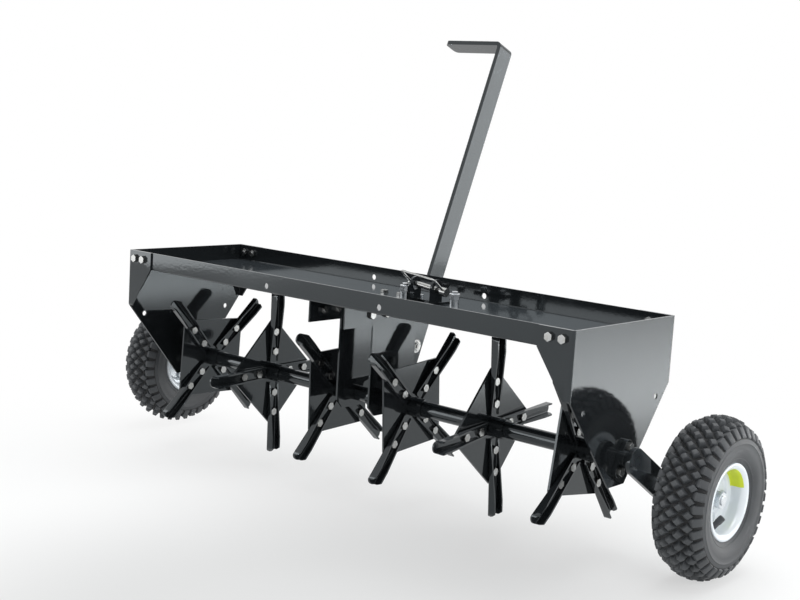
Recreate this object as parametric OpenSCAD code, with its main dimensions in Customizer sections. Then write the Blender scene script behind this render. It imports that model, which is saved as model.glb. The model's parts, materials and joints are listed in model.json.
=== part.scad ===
// Tow-behind plug aerator: a sheet-steel ballast tray on two end plates, six
// four-spoon tine stars turning on a cranked axle, two air-tyred wheels on the
// cranks and a flat-bar lift lever. Millimetres, +X along the width, +Y towards
// the lever side, +Z up, ground at z = 0.

/* [Tray] */
// Width over the outer faces of the end plates
tray_w = 1030; // [960:5:1100]
// Depth over the end plates
tray_d = 292; // [270:2:320]
// Height of the tray's rim above the axle
rim_up = 214; // [205:1:230]
// Height of the tray walls
wall_h = 33; // [28:1:45]
// Tray sheet
tray_t = 2.5; // [2:0.5:3]
// Bend radius of the folded sheets
bend_r = 4; // [3.5:0.5:6]
// Diameter of the lashing holes in the tray walls
lash_d = 10.5; // [8:0.5:12]
// Distance between the two lashing holes of a wall
lash_span = 266; // [200:2:320]

/* [End plates] */
// End plate sheet
end_t = 3; // [2.5:0.5:4]
// Length of the upright edges below the rim
end_edge_h = 105; // [95:1:115]
// How far the lower edge lies below the axle
end_low = 44; // [38:1:55]
// Width of the lower edge
end_low_w = 46; // [40:1:60]
// Width of a corner flange at the rim
flange_w = 65; // [55:1:75]
// Width of a corner flange at its foot
flange_foot_w = 14; // [8:1:20]
// Diameter of the spare holes in an end plate
spare_d = 10; // [8:0.5:12]
// Distance between the two spare holes
spare_span = 212; // [190:2:220]
// Height of the spare holes above the axle
spare_up = 86; // [78:1:95]

/* [Axle and wheels] */
// How far the axle lies behind the middle of the tray
axle_y = 10; // [6:1:14]
// Diameter of the axle rod
axle_d = 20; // [18:0.5:24]
// Distance from the axle line to a wheel spindle
crank_len = 95; // [88:1:100]
// Drop angle of the cranks in the transport position
crank_drop = 31.8; // [30:0.1:33]
// Width of a crank bar
crank_w = 44; // [40:1:48]
// Thickness of a crank bar
crank_t = 8; // [6:0.5:10]
// Distance of a crank's outer face from the end plate
crank_out = 31; // [29:1:36]
// Distance of a wheel's middle plane from the end plate
wheel_out = 118.5; // [110:0.5:130]
// Diameter of a wheel spindle
spindle_d = 16; // [14:0.5:18]
// Tyre diameter over the tread blocks
tyre_d = 260; // [256:1:262]
// Tyre width over the shoulder lugs
tyre_w = 88; // [84:1:92]
// Rim flange diameter
rim_d = 120; // [118:1:124]
// Width over the rim flanges
rim_w = 66; // [62:1:70]
// Rim sheet
rim_t = 2; // [1.6:0.1:2.4]
// Length of a wheel hub on the machine's side of the rim's middle
hub_in = 36; // [30:1:40]
// Length of a wheel hub on the outer side
hub_out = 8; // [6:1:12]

/* [Tine stars] */
// Distance of the innermost star plates from the centre
star_first = 89; // [86:1:95]
// Distance of the outermost star plates from the end plates
star_last = 72; // [66:1:85]
// Angles of the six stars, from left to right
star_turn = [42.5, 1.2, 47.2, 49.8, 4.7, 36.5];
// Side of a square star plate
star_side = 150; // [140:1:156]
// Star plate sheet
star_t = 4; // [3:0.5:5]
// Outer diameter of a star's hub sleeve
star_hub_d = 34; // [32:1:38]
// Length of the hub sleeve on the spoon side
star_hub_out = 30; // [24:1:36]
// Length of the hub sleeve on the plain side
star_hub_in = 12; // [10:1:20]
// Reach of a spoon tip from the axle line
spoon_tip = 159; // [150:1:164]
// Width of a spoon
spoon_w = 23; // [21:0.5:25]
// Depth of a spoon's trough
spoon_h = 16; // [14:0.5:18]
// Spoon sheet
spoon_t = 3; // [2.5:0.5:3.5]
// Distances of the two spoon bolts from the axle line
spoon_bolt_r = [40, 78.5];

/* [Centre frame] */
// Width over the drawbar channel
channel_w = 86; // [80:1:92]
// Depth of the drawbar channel below the tray
channel_h = 40; // [36:1:42]
// Place of the channel's open front end, from the middle of the tray
channel_front = -125; // [-132:1:-110]
// Place of the channel's rear end
channel_back = 110; // [90:1:118]
// Sheet of the channel
channel_t = 3; // [2.5:0.5:4]
// Width of a hanger plate
hanger_w = 116; // [108:1:124]
// How far the hanger plates reach below the axle
hanger_low = 22; // [18:1:30]
// Hanger plate sheet
hanger_t = 4; // [3:0.5:5]

/* [Lift lever] */
// Place of the lever pivot behind the middle of the tray
lever_y = 125; // [124:0.5:127]
// Height of the lever pivot above the axle
lever_rise = 81; // [78:1:84]
// Backward lean of the lever in the transport position
lever_lean = 21.3; // [21:0.1:23]
// Lever bar width
lever_w = 39; // [36:0.5:40]
// Lever bar thickness
lever_t = 8; // [6:0.5:9]
// Height of the hand grip's upper face above the pivot, along the bar
lever_up = 608; // [560:1:640]
// Length of the hand grip
grip_len = 138; // [110:1:150]
// Distance from the pivot down to the drive pin
lever_arm = 85; // [82:0.5:86]
// Outer face of the lever bar, from the centre plane
lever_x = -6; // [-8:0.5:-3]
// Diameter of the pivot bolt and of the drive pin
pivot_d = 12; // [11:0.5:13]
// Full turn of the axle between transport and work
axle_turn = 67; // [66:0.5:68]
// Turn of the lever between transport and work
lever_turn = 65; // [63:0.5:66]

/* [Tray fittings] */
// Middle of the hitch pin, from the middle of the tray at the rim
pin_at = [94, 22];
// Height of the hitch pin above the tray floor
pin_up = 29; // [27:0.5:32]
// Diameter of the hitch pin
pin_d = 10; // [9:0.5:11]
// Length of the hitch pin's shank
pin_len = 74; // [70:1:80]
// Slope of the hitch pin in its bracket
pin_slope = 6; // [4:0.5:6.5]
// Wire diameter of the pin's bail
wire_d = 4; // [3:0.5:4.5]
// Height of the bail's legs
bail_h = 40; // [34:1:44]
// Lean of the bail towards the front
bail_lean = 55; // [45:1:60]
// Distance between the pin bracket's two ears
ear_gap = 44; // [38:1:46]
// Places of the two tall clamp studs
stud_at = [[57, 11], [168, 11]];
// Height of the clamp studs above the tray floor
stud_up = 31; // [28:1:31]

/* [Fasteners and clearances] */
// Small bolt diameter and its width over flats
bolt_d = 8; // [6:1:8]
// Width over flats of a small hex head
bolt_af = 13; // [12:0.5:14]
// Height of a small hex head or nut
bolt_h = 5.5; // [4:0.5:6]
// Room round a bolt in its hole, on the radius
bolt_room = 0.3; // [0.2:0.1:0.5]
// Running room round a turning shaft, on the radius
run_room = 0.05; // [0.03:0.01:0.08]
// Room beside turning and sliding pieces
side_room = 0.4; // [0.3:0.1:0.6]

/* [Hidden] */
$fn = 64;

// Colours of the finishes
black_paint = "#2a2c2e";
zinc = "#b9bcbf";
rubber = "#3a3c3e";
rim_white = "#e8ecee";

// Axle line and wheel places, measured from the middle of the tray
wheel_y = axle_y + crank_len * cos(crank_drop);
wheel_z = tyre_d / 2;
axle_z = wheel_z + crank_len * sin(crank_drop);
wheel_x = tray_w / 2 + wheel_out;
crank_in_x = tray_w / 2 + crank_out - crank_t;
axle_end_x = tray_w / 2 + crank_out;

// Heights above the ground follow the axle
rim_z = axle_z + rim_up;
end_low_z = axle_z - end_low;
spare_z = axle_z + spare_up;
hanger_low_z = axle_z - hanger_low;
lever_z = axle_z + lever_rise;

// The tray and its walls; its ends stop clear of the bends of the end plates
plate_x = tray_w / 2 - end_t;
tray_x = tray_w / 2 - bend_r;
wall_y = tray_d / 2 - end_t;
floor_z = rim_z - wall_h;
floor_top = floor_z + tray_t;
flange_bolt_x = [tray_w / 2 - 19, tray_w / 2 - 43];
flange_bolt_z = rim_z - 15;
lash_z = rim_z - 21;

// The lever's full height sets the depth of the whole machine; the frame's
// origin lies on the ground in the middle of that depth
lever_top_y = lever_y + sin(lever_lean) * lever_up + cos(lever_lean) * lever_w / 2;
front_y = -tray_d / 2 - bolt_h;
tray_y = -(lever_top_y + front_y) / 2;

// The bearing's boss ends just short of its bolt heads
bearing_t = 8;
bearing_boss_h = 6;
bearing_boss_d = axle_d + 8;
bearing_bolt_gap = bearing_boss_d + bolt_af + 1;

// Star plates carry the spoons on their right-hand faces
star_end = tray_w / 2 - star_last;
star_mid = (star_first + star_end) / 2;
star_places = [-star_end, -star_mid, -star_first, star_first, star_mid, star_end];
spoon_root = 20;

// Hanger plates lie inside the walls of the channel
hanger_x = channel_w / 2 - channel_t - hanger_t;
channel_low_z = floor_z - channel_h;

// Drive plate on the axle: its slot is as long and wide as the lever's drive pin wanders in it
drive_t = 8;
drive_x = lever_x + 1;
drive_hub_d = 38;
slot_out = drive_point(0);
slot_in = drive_point(0.5);
slot_len = norm(slot_out - slot_in);
slot_way = (slot_out - slot_in) / slot_len;
slot_sway = max([for (k = [0 : 12]) abs(cross(drive_point(k / 12) - slot_in, slot_way))]);
slot_w = pivot_d + 2 * (slot_sway + side_room);

// Where the drive pin lies in the drive plate's own frame, at a share s of the travel
function drive_point(s) =
  let (a = 270 - lever_lean - s * lever_turn)
  let (p = [lever_y + lever_arm * cos(a) - axle_y, lever_z + lever_arm * sin(a) - axle_z])
  let (b = -s * axle_turn)
  [p[0] * cos(b) - p[1] * sin(b), p[0] * sin(b) + p[1] * cos(b)];

// Places everything measured from the middle of the tray
module at_tray() { translate([0, tray_y, 0]) children(); }

// Moves to the axle line, with X along the axle
module at_axle() { at_tray() translate([0, axle_y, axle_z]) children(); }

// A flat piece drawn in Y and Z, standing on the plane x = x0 and t thick
module side_sheet(x0, t) { translate([x0, 0, 0]) rotate([90, 0, 90]) linear_extrude(t) children(); }

// A flat piece drawn in X and Z, with its front on the plane y = y0 and t thick
module front_sheet(y0, t) { translate([0, y0 + t, 0]) rotate([90, 0, 0]) linear_extrude(t) children(); }

// A round bar along X from x0 to x1
module bar_x(x0, x1, d) { translate([x0, 0, 0]) rotate([0, 90, 0]) cylinder(h = x1 - x0, d = d); }

// Hexagon across flats af, h high, along X from x0
module hex_x(x0, h, af) { translate([x0, 0, 0]) rotate([0, 90, 0]) cylinder(h = h, d = af / cos(30), $fn = 6); }

// A bolt with its nut, along X: head outside x0, grip long, nut and end beyond
module bolt_x(x0, grip, d = bolt_d, af = bolt_af, h = bolt_h) {
  hex_x(x0 - h, h, af);
  bar_x(x0 - h / 2, x0 + grip + h + d / 4, d);
  hex_x(x0 + grip, h, af);
}

// Stadium outline from the origin along +X (2D), len between the centres
module stadium(len, w) {
  translate([0, -w / 2]) square([len, w]);
  circle(d = w);
  translate([len, 0]) circle(d = w);
}

// Round hole along X through everything near x
module hole_x(x, d) { bar_x(x - 30, x + 30, d); }

// Round hole along Y through everything near y
module hole_y(y, d) { translate([0, y - 30, 0]) rotate([-90, 0, 0]) cylinder(h = 60, d = d); }

// Folded ballast tray: floor with an upstanding wall at the front and the back
module tray_section() {
  difference() {
    translate([-wall_y, floor_z]) square([2 * wall_y, wall_h]);
    translate([-wall_y + tray_t, floor_top + bend_r - tray_t]) square([2 * (wall_y - tray_t), wall_h]);
    translate([-wall_y + bend_r, floor_top]) square([2 * (wall_y - bend_r), wall_h]);
    for (s = [-1, 1]) {
      translate([s * (wall_y - bend_r), floor_z + bend_r]) circle(r = bend_r - tray_t);
      difference() {
        translate([s * (wall_y - bend_r / 2), floor_z + bend_r / 2]) square(bend_r, center = true);
        translate([s * (wall_y - bend_r), floor_z + bend_r]) circle(r = bend_r);
      }
    }
  }
}

module tray() {
  color(black_paint) at_tray() difference() {
    side_sheet(-tray_x, 2 * tray_x) tray_section();
    for (s = [-1, 1]) {
      for (x = [-lash_span / 2, lash_span / 2]) translate([x, 0, lash_z]) hole_y(s * wall_y, lash_d);
      for (x = flange_bolt_x, m = [-1, 1])
        translate([m * x, 0, flange_bolt_z]) hole_y(s * wall_y, bolt_d + 2 * bolt_room);
    }
    for (p = channel_bolt_at) floor_hole(p, bolt_d);
    for (p = pin_bolt_at) floor_hole(p, bolt_d);
    for (p = stud_at) floor_hole(p, stud_d);
  }
}

// A clear hole down through the tray floor
module floor_hole(p, d) { translate([p[0], p[1], floor_z - 5]) cylinder(h = 15, d = d + 2 * bolt_room); }

// Outline of an end plate, in Y and Z
module end_outline() {
  top = tray_d / 2;
  low = end_low_w / 2;
  polygon([[-top, rim_z], [top, rim_z], [top, rim_z - end_edge_h], [axle_y / 2 + low, end_low_z],
    [axle_y / 2 - low, end_low_z], [-top, rim_z - end_edge_h]]);
}

// Plan of an end plate with its two flanges folded along the tray walls
module end_plan() {
  x = tray_w / 2;
  y = tray_d / 2;
  difference() {
    union() {
      translate([x - flange_w, -y]) square([flange_w - bend_r, 2 * y]);
      translate([x - 2 * bend_r, -y + bend_r]) square([2 * bend_r, 2 * (y - bend_r)]);
      for (s = [-1, 1]) translate([x - bend_r, s * (y - bend_r)]) circle(r = bend_r);
    }
    translate([x - flange_w - 1, -y + end_t]) square([flange_w + 1 - bend_r, 2 * (y - end_t)]);
    translate([x - flange_w - 1, -y + bend_r]) square([flange_w + 1 - end_t, 2 * (y - bend_r)]);
    for (s = [-1, 1]) translate([x - bend_r, s * (y - bend_r)]) circle(r = bend_r - end_t);
  }
}

// Front view of an end plate: the flanges narrow below the tray wall
module end_front() {
  x = tray_w / 2;
  polygon([[x, rim_z], [x - flange_w, rim_z], [x - flange_w, floor_z], [x - flange_foot_w, rim_z - end_edge_h],
    [x - end_t, end_low_z], [x, end_low_z]]);
}

module end_plate() {
  difference() {
    intersection() {
      translate([0, 0, end_low_z]) linear_extrude(rim_z - end_low_z) end_plan();
      side_sheet(plate_x - flange_w, 2 * flange_w) end_outline();
      front_sheet(-tray_d, 2 * tray_d) end_front();
    }
    for (s = [-1, 1]) {
      translate([0, s * spare_span / 2, spare_z]) hole_x(plate_x, spare_d);
      for (x = flange_bolt_x) translate([x, 0, flange_bolt_z]) hole_y(s * wall_y, bolt_d + 2 * bolt_room);
    }
    translate([0, axle_y, axle_z]) {
      hole_x(plate_x, axle_d + 4);
      bearing_bolt_places() hole_x(plate_x, bolt_d + 2 * bolt_room);
    }
  }
}

module end_plate_left() { color(black_paint) at_tray() mirror([1, 0, 0]) end_plate(); }
module end_plate_right() { color(black_paint) at_tray() end_plate(); }

// Bolts through the flanges and the tray walls, heads outside
module flange_bolts() {
  color(zinc) at_tray() for (s = [-1, 1], m = [-1, 1], x = flange_bolt_x)
    translate([m * x, s * tray_d / 2, flange_bolt_z]) rotate([0, 0, -s * 90]) bolt_x(0, end_t + tray_t);
}

// Two-bolt flange bearings on the outer faces of the end plates
module bearing_bolt_places() {
  rotate([-crank_drop, 0, 0]) for (s = [-1, 1]) translate([0, 0, s * bearing_bolt_gap / 2]) children();
}

module axle_bearing() {
  bearing_flange_w = 22;
  difference() {
    rotate([-crank_drop, 0, 0]) {
      side_sheet(tray_w / 2, bearing_t)
        translate([0, -bearing_bolt_gap / 2]) rotate(90) stadium(bearing_bolt_gap, bearing_flange_w);
      bar_x(tray_w / 2, tray_w / 2 + bearing_t + bearing_boss_h, bearing_boss_d);
    }
    hole_x(tray_w / 2, axle_d + 2 * run_room);
    bearing_bolt_places() hole_x(tray_w / 2, bolt_d + 2 * bolt_room);
  }
}

module axle_bearings() { color(black_paint) at_axle() { axle_bearing(); mirror([1, 0, 0]) axle_bearing(); } }

// The bearing bolts have their heads outside and nuts inside the end plate
module bearing_bolts() {
  color(zinc) at_axle() for (m = [0, 1]) mirror([m, 0, 0]) bearing_bolt_places()
    translate([tray_w / 2 + bearing_t, 0, 0]) mirror([1, 0, 0]) rotate([30, 0, 0]) bolt_x(0, bearing_t + end_t);
}

// Drawbar channel: a downward-open channel under the middle of the tray
channel_bolt_at = [[-26, 52], [12, 52], [-26, -80], [12, -80]];
drawbar_bolt_at = [[-1, -92], [-1, -58], [1, -58]];
drawbar_bolt_z = floor_z - 20;

module drawbar_channel() {
  len = channel_back - channel_front;
  color(black_paint) at_tray() difference() {
    translate([-channel_w / 2, channel_front, channel_low_z]) cube([channel_w, len, channel_h]);
    translate([-channel_w / 2 + channel_t, channel_front - 1, channel_low_z - 1])
      cube([channel_w - 2 * channel_t, len + 2, channel_h + 1 - channel_t]);
    for (p = channel_bolt_at) floor_hole(p, bolt_d);
    for (p = concat(drawbar_bolt_at, [for (s = [-1, 1], y = hanger_bolt_y) [s, y]]))
      translate([0, p[1], drawbar_bolt_z]) hole_x(p[0] * channel_w / 2, bolt_d + 2 * bolt_room);
  }
}

// Bolts down through the tray floor and the channel, heads in the tray
module channel_bolts() {
  color(zinc) at_tray() for (p = channel_bolt_at)
    translate([p[0], p[1], floor_top]) rotate([0, 90, 0]) bolt_x(0, tray_t + channel_t);
}

// Short bolts through each channel wall, for the drawbar's side straps
module drawbar_bolts() {
  color(zinc) at_tray() for (p = drawbar_bolt_at)
    translate([p[0] * channel_w / 2, p[1], drawbar_bolt_z]) rotate([0, 0, 90 + p[0] * 90]) bolt_x(0, channel_t);
}

// Hanger plates carry the middle of the axle; the left one has a rear lobe for the lever
hanger_bolt_y = [-20, 40];
hanger_top_z = floor_z - channel_t - 0.5;

module hanger_outline() {
  corner = 16;
  y0 = axle_y - hanger_w / 2;
  y1 = axle_y + hanger_w / 2;
  polygon([[y0, hanger_top_z], [y1, hanger_top_z], [y1, hanger_low_z + corner], [y1 - corner, hanger_low_z],
    [y0 + corner, hanger_low_z], [y0, hanger_low_z + corner]]);
}

module hanger_holes(x) {
  translate([0, axle_y, axle_z]) hole_x(x, axle_d + 2 * run_room);
  for (y = hanger_bolt_y) translate([0, y, drawbar_bolt_z]) hole_x(x, bolt_d + 2 * bolt_room);
}

module hanger_right() {
  color(black_paint) at_tray() difference() {
    side_sheet(hanger_x, hanger_t) hanger_outline();
    hanger_holes(hanger_x);
  }
}

module hanger_left() {
  lobe_r = 19;
  corner = 16;
  y0 = axle_y - hanger_w / 2;
  y1 = axle_y + hanger_w / 2;
  color(black_paint) at_tray() difference() {
    union() {
      side_sheet(-hanger_x - hanger_t, hanger_t)
        polygon([[y0, hanger_top_z], [y1, hanger_top_z], [y1, lever_z + 42], [lever_y, lever_z + lobe_r - 1],
          [lever_y, lever_z - lobe_r + 1], [y1, lever_z - 34], [y1, hanger_low_z + corner],
          [y1 - corner, hanger_low_z], [y0 + corner, hanger_low_z], [y0, hanger_low_z + corner]]);
      translate([0, lever_y, lever_z]) bar_x(-hanger_x - hanger_t, -hanger_x, 2 * lobe_r);
    }
    hanger_holes(-hanger_x);
    translate([0, lever_y, lever_z]) hole_x(-hanger_x, pivot_d + 2 * run_room);
  }
}

// Bolts through the channel walls and the hangers, heads outside
module hanger_bolts() {
  color(zinc) at_tray() for (m = [0, 1], y = hanger_bolt_y) mirror([m, 0, 0])
    translate([channel_w / 2, y, drawbar_bolt_z]) mirror([1, 0, 0]) bolt_x(0, channel_t + hanger_t);
}

// Lever pivot: a bolt through the hanger's lobe, a spacer and the lever
pivot_af = 19;
pivot_h = 8;
washer_d = 30;
washer_t = 2.5;

module lever_pivot() {
  end_x = lever_x + side_room;
  color(zinc) at_tray() translate([0, lever_y, lever_z]) {
    hex_x(-hanger_x - hanger_t - pivot_h, pivot_h, pivot_af);
    bar_x(-hanger_x - hanger_t - 1, end_x + washer_t + pivot_h + 4, pivot_d);
    bar_x(end_x, end_x + washer_t, washer_d);
    hex_x(end_x + washer_t, pivot_h, pivot_af);
  }
}

module lever_spacer() {
  color(zinc) at_tray() translate([0, lever_y, lever_z]) difference() {
    bar_x(-hanger_x, lever_x - lever_t - side_room, 22);
    bar_x(-hanger_x - 1, lever_x, pivot_d + 0.2);
  }
}

// Flat-bar lever, bent square at the top into a hand grip towards -X
module lever_profile() {
  low = lever_arm + 13;
  bend = 12;
  translate([-lever_t, -low]) square([lever_t, low + lever_up - bend]);
  translate([-grip_len, lever_up - lever_t]) square([grip_len - bend, lever_t]);
  intersection() {
    translate([-bend, lever_up - bend]) difference() {
      circle(r = bend);
      circle(r = bend - lever_t);
    }
    translate([-bend, lever_up - bend]) square(bend);
  }
}

module lever_place() {
  at_tray() translate([lever_x, lever_y, lever_z]) rotate([-lever_lean, 0, 0]) children();
}

module lever_bar() {
  grip_r = 9;
  half = lever_w / 2;
  color(black_paint) lever_place() difference() {
    translate([0, half, 0]) rotate([90, 0, 0]) linear_extrude(lever_w) lever_profile();
    rotate([0, 90, 0]) cylinder(h = 4 * lever_t, d = pivot_d + 2 * run_room, center = true);
    translate([0, 0, -lever_arm]) {
      rotate([0, 90, 0]) cylinder(h = 4 * lever_t, d = pivot_d, center = true);
      side_sheet(-2 * lever_t, 4 * lever_t) translate([0, -half]) difference() {
        square(lever_w + 2, center = true);
        translate([0, half]) circle(r = half);
      }
    }
    for (s = [-1, 1]) translate([-grip_len, s * half, lever_up - 2 * lever_t])
      linear_extrude(3 * lever_t) difference() {
        square(2 * grip_r, center = true);
        translate([grip_r, -s * grip_r]) circle(r = grip_r);
      }
  }
}

// Drive pin riveted in the lever's lower end
module drive_pin() {
  color(zinc) lever_place() translate([0, 0, -lever_arm]) {
    bar_x(-lever_t, drive_x - lever_x + drive_t + 6, pivot_d);
    bar_x(-lever_t - 3, -lever_t, pivot_d + 6);
    bar_x(drive_x - lever_x + drive_t + 1, drive_x - lever_x + drive_t + 4, pivot_d + 8);
  }
}

// Drive plate welded on the axle, with a slot for the drive pin
module drive_plate() {
  color(black_paint) at_axle() difference() {
    union() {
      side_sheet(drive_x, drive_t) rotate(atan2(slot_out[1], slot_out[0])) stadium(norm(slot_out), drive_hub_d);
      bar_x(drive_x + drive_t / 2, drive_x + 2 * drive_t, drive_hub_d - 6);
    }
    hole_x(drive_x, axle_d + 0.2);
    side_sheet(drive_x - 1, drive_t + 2)
      translate(slot_in) rotate(atan2(slot_way[1], slot_way[0])) stadium(slot_len, slot_w);
  }
}

// Axle rod right through the machine
module axle_shaft() { color(black_paint) at_axle() bar_x(-axle_end_x, axle_end_x, axle_d); }

// Spacer tubes keep the stars apart on the axle
spacer_d = axle_d + 8;
module spacer(x0, x1) {
  difference() {
    bar_x(x0 + side_room, x1 - side_room, spacer_d);
    bar_x(x0, x1, axle_d + 0.2);
  }
}

module spacer_tubes() {
  hub_lo = [for (x = star_places) x - star_t / 2 - star_hub_in];
  hub_hi = [for (x = star_places) x + star_t / 2 + star_hub_out];
  mid = hanger_x + hanger_t;
  color(black_paint) at_axle() {
    spacer(-plate_x, hub_lo[0]);
    for (k = [0, 1, 3, 4]) spacer(hub_hi[k], hub_lo[k + 1]);
    spacer(hub_hi[2], -mid);
    spacer(mid, hub_lo[3]);
    spacer(hub_hi[5], plate_x);
    spacer(-hanger_x, drive_x - side_room);
    spacer(drive_x + 2 * drive_t + side_room, hanger_x);
  }
}

// Crank bars on the axle ends: flat bars with round ends
module crank() {
  at_axle() difference() {
    side_sheet(crank_in_x, crank_t) rotate(-crank_drop) stadium(crank_len, crank_w);
    hole_x(crank_in_x, axle_d);
    rotate([-crank_drop, 0, 0]) translate([0, crank_len, 0]) hole_x(crank_in_x, spindle_d);
  }
}

module crank_left() { color(black_paint) mirror([1, 0, 0]) crank(); }
module crank_right() { color(black_paint) crank(); }

// A sleeve on each axle end spaces the crank from its bearing
module crank_sleeves() {
  color(black_paint) at_axle() for (m = [0, 1]) mirror([m, 0, 0]) difference() {
    bar_x(tray_w / 2 + bearing_t + bearing_boss_h + side_room, crank_in_x, spacer_d);
    bar_x(tray_w / 2, crank_in_x + 1, axle_d + 0.2);
  }
}

// Wheel spindles: head inside the crank, shoulder outside, thread for the nut
module at_wheel() { at_tray() translate([0, wheel_y, wheel_z]) children(); }

hub_x0 = wheel_x - hub_in;
hub_x1 = wheel_x + hub_out;
spindle_washer_t = 3;
spindle_washer_d = 1.9 * spindle_d;
spindle_af = 1.5 * spindle_d;
spindle_nut_h = 0.6 * spindle_d;

module wheel_spindles() {
  shoulder_d = spindle_d + 10;
  end_x = hub_x1 + side_room + spindle_washer_t + spindle_nut_h + 2;
  color(zinc) at_wheel() for (m = [0, 1]) mirror([m, 0, 0]) {
    hex_x(crank_in_x - spindle_nut_h, spindle_nut_h, spindle_af);
    bar_x(crank_in_x - 1, end_x, spindle_d);
    bar_x(crank_in_x + crank_t, hub_x0 - side_room, shoulder_d);
  }
}

module spindle_nuts() {
  color(zinc) at_wheel() for (m = [0, 1]) mirror([m, 0, 0]) {
    x = hub_x1 + side_room;
    difference() {
      union() {
        bar_x(x, x + spindle_washer_t, spindle_washer_d);
        hex_x(x + spindle_washer_t, spindle_nut_h, spindle_af);
      }
      bar_x(x - 1, x + 20, spindle_d + 0.1);
    }
  }
}

// One spoon, lying along +Y on the plate face x = 0: a rolled trough whose sides
// rise from the bolted root to a rounded, obliquely cut tip
module spoon() {
  full = spoon_tip - 20;
  root_h = spoon_t + 2.5;
  tip_slope = 9;
  difference() {
    intersection() {
      translate([0, spoon_root, 0]) rotate([-90, 0, 0]) linear_extrude(spoon_tip - spoon_root) spoon_section();
      side_sheet(-1, spoon_h + 2) {
        translate([spoon_root, -spoon_w / 2]) square([spoon_tip - spoon_root - spoon_w / 2, spoon_w]);
        translate([spoon_tip - spoon_w / 2, 0]) circle(d = spoon_w);
      }
    }
    translate([0, 0, -spoon_w]) linear_extrude(2 * spoon_w) {
      polygon([[root_h, 0], [root_h, spoon_root + 6], [spoon_h + 1, full], [spoon_h + 1, 0]]);
      polygon([[spoon_t, spoon_tip + 1], [spoon_h + 1, spoon_tip + 1], [spoon_h + 1, spoon_tip - tip_slope]]);
    }
    for (r = spoon_bolt_r) translate([0, r, 0]) hole_x(0, bolt_d + 2 * bolt_room);
  }
}

// Cross-section of a spoon: flat floor, round corners and upright sides (X is depth)
module spoon_section() {
  r = spoon_t + 1.8;
  half = spoon_w / 2;
  difference() {
    union() {
      translate([0, -half + r]) square([spoon_h, spoon_w - 2 * r]);
      translate([r, -half]) square([spoon_h - r, spoon_w]);
      for (s = [-1, 1]) translate([r, s * (half - r)]) circle(r = r);
    }
    translate([spoon_t, -half + r]) square([spoon_h, spoon_w - 2 * r]);
    translate([r, -half + spoon_t]) square([spoon_h, spoon_w - 2 * spoon_t]);
    for (s = [-1, 1]) translate([r, s * (half - r)]) circle(r = r - spoon_t);
  }
}

// Places a star's pieces: k counts from the left, X is the plate's middle
module at_star(k) { at_axle() translate([star_places[k], 0, 0]) rotate([star_turn[k], 0, 0]) children(); }
module each_spoke() { for (a = [0 : 90 : 270]) rotate([a, 0, 0]) children(); }

// Square plate with its corners on the spokes, welded to a hub sleeve
module star_plate(k) {
  corner = 10;
  half = star_side / 2 - corner;
  color(black_paint) at_star(k) difference() {
    union() {
      side_sheet(-star_t / 2, star_t) rotate(45) {
        square([star_side, 2 * half], center = true);
        square([2 * half, star_side], center = true);
        for (y = [-half, half], z = [-half, half]) translate([y, z]) circle(r = corner);
      }
      bar_x(-star_t / 2 - star_hub_in, star_t / 2 + star_hub_out, star_hub_d);
    }
    hole_x(0, axle_d + 2 * run_room);
    bar_x(-60, 60, axle_d + 2 * run_room);
    each_spoke() for (r = spoon_bolt_r) translate([0, r, 0]) hole_x(0, bolt_d + 2 * bolt_room);
  }
}

module spoons(k) { color(black_paint) at_star(k) each_spoke() translate([star_t / 2, 0, 0]) spoon(); }

// Spoon bolts: heads in the trough, nuts behind the plate
module spoon_bolts(k) {
  color(zinc) at_star(k) each_spoke() for (r = spoon_bolt_r)
    translate([star_t / 2 + spoon_t, r, 0]) mirror([1, 0, 0]) rotate([30, 0, 0]) bolt_x(0, star_t + spoon_t);
}

module star_plate_1() { star_plate(0); }
module spoons_1() { spoons(0); }
module spoon_bolts_1() { spoon_bolts(0); }
module star_plate_2() { star_plate(1); }
module spoons_2() { spoons(1); }
module spoon_bolts_2() { spoon_bolts(1); }
module star_plate_3() { star_plate(2); }
module spoons_3() { spoons(2); }
module spoon_bolts_3() { spoon_bolts(2); }
module star_plate_4() { star_plate(3); }
module spoons_4() { spoons(3); }
module spoon_bolts_4() { spoon_bolts(3); }
module star_plate_5() { star_plate(4); }
module spoons_5() { spoons(4); }
module spoon_bolts_5() { spoon_bolts(4); }
module star_plate_6() { star_plate(5); }
module spoons_6() { spoons(5); }
module spoon_bolts_6() { spoon_bolts(5); }

// Moves to a wheel's middle, with +X pointing away from the machine
module wheel_left() { mirror([1, 0, 0]) wheel_right() children(); }
module wheel_right() { at_wheel() translate([wheel_x, 0, 0]) children(); }

// Turns a section drawn as [radius, x] about the X axis
module turned() { rotate([0, 90, 0]) rotate_extrude() children(); }

// Air tyre: a hollow carcass on two beads, with a tread of blocks
bead_r = rim_d / 2 - 9;
tread_h = 4;
tread_count = 24;
crown_r = tyre_d / 2 - tread_h;
section_x = tyre_w / 2 - 4;
section_r = 0.527 * (crown_r - bead_r);
section_mid_r = crown_r - section_r;

module tyre_carcass() {
  wall = 7;
  bead_w = 9;
  bead_x = rim_w / 2 - rim_t;
  turned() difference() {
    union() {
      translate([section_mid_r, 0]) scale([section_r, section_x]) circle(r = 1);
      translate([bead_r, -bead_x]) square([section_mid_r - bead_r, 2 * bead_x]);
    }
    translate([section_mid_r, 0]) scale([section_r - wall, section_x - wall]) circle(r = 1);
    translate([0, -bead_x + bead_w]) square([section_mid_r, 2 * (bead_x - bead_w)]);
    translate([0, -tyre_w]) square([bead_r, 2 * tyre_w]);
    for (s = [-1, 1]) translate([0, s * (bead_x + tyre_w / 2) - tyre_w / 2])
      square([rim_d / 2 + rim_t, tyre_w]);
  }
}

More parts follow.
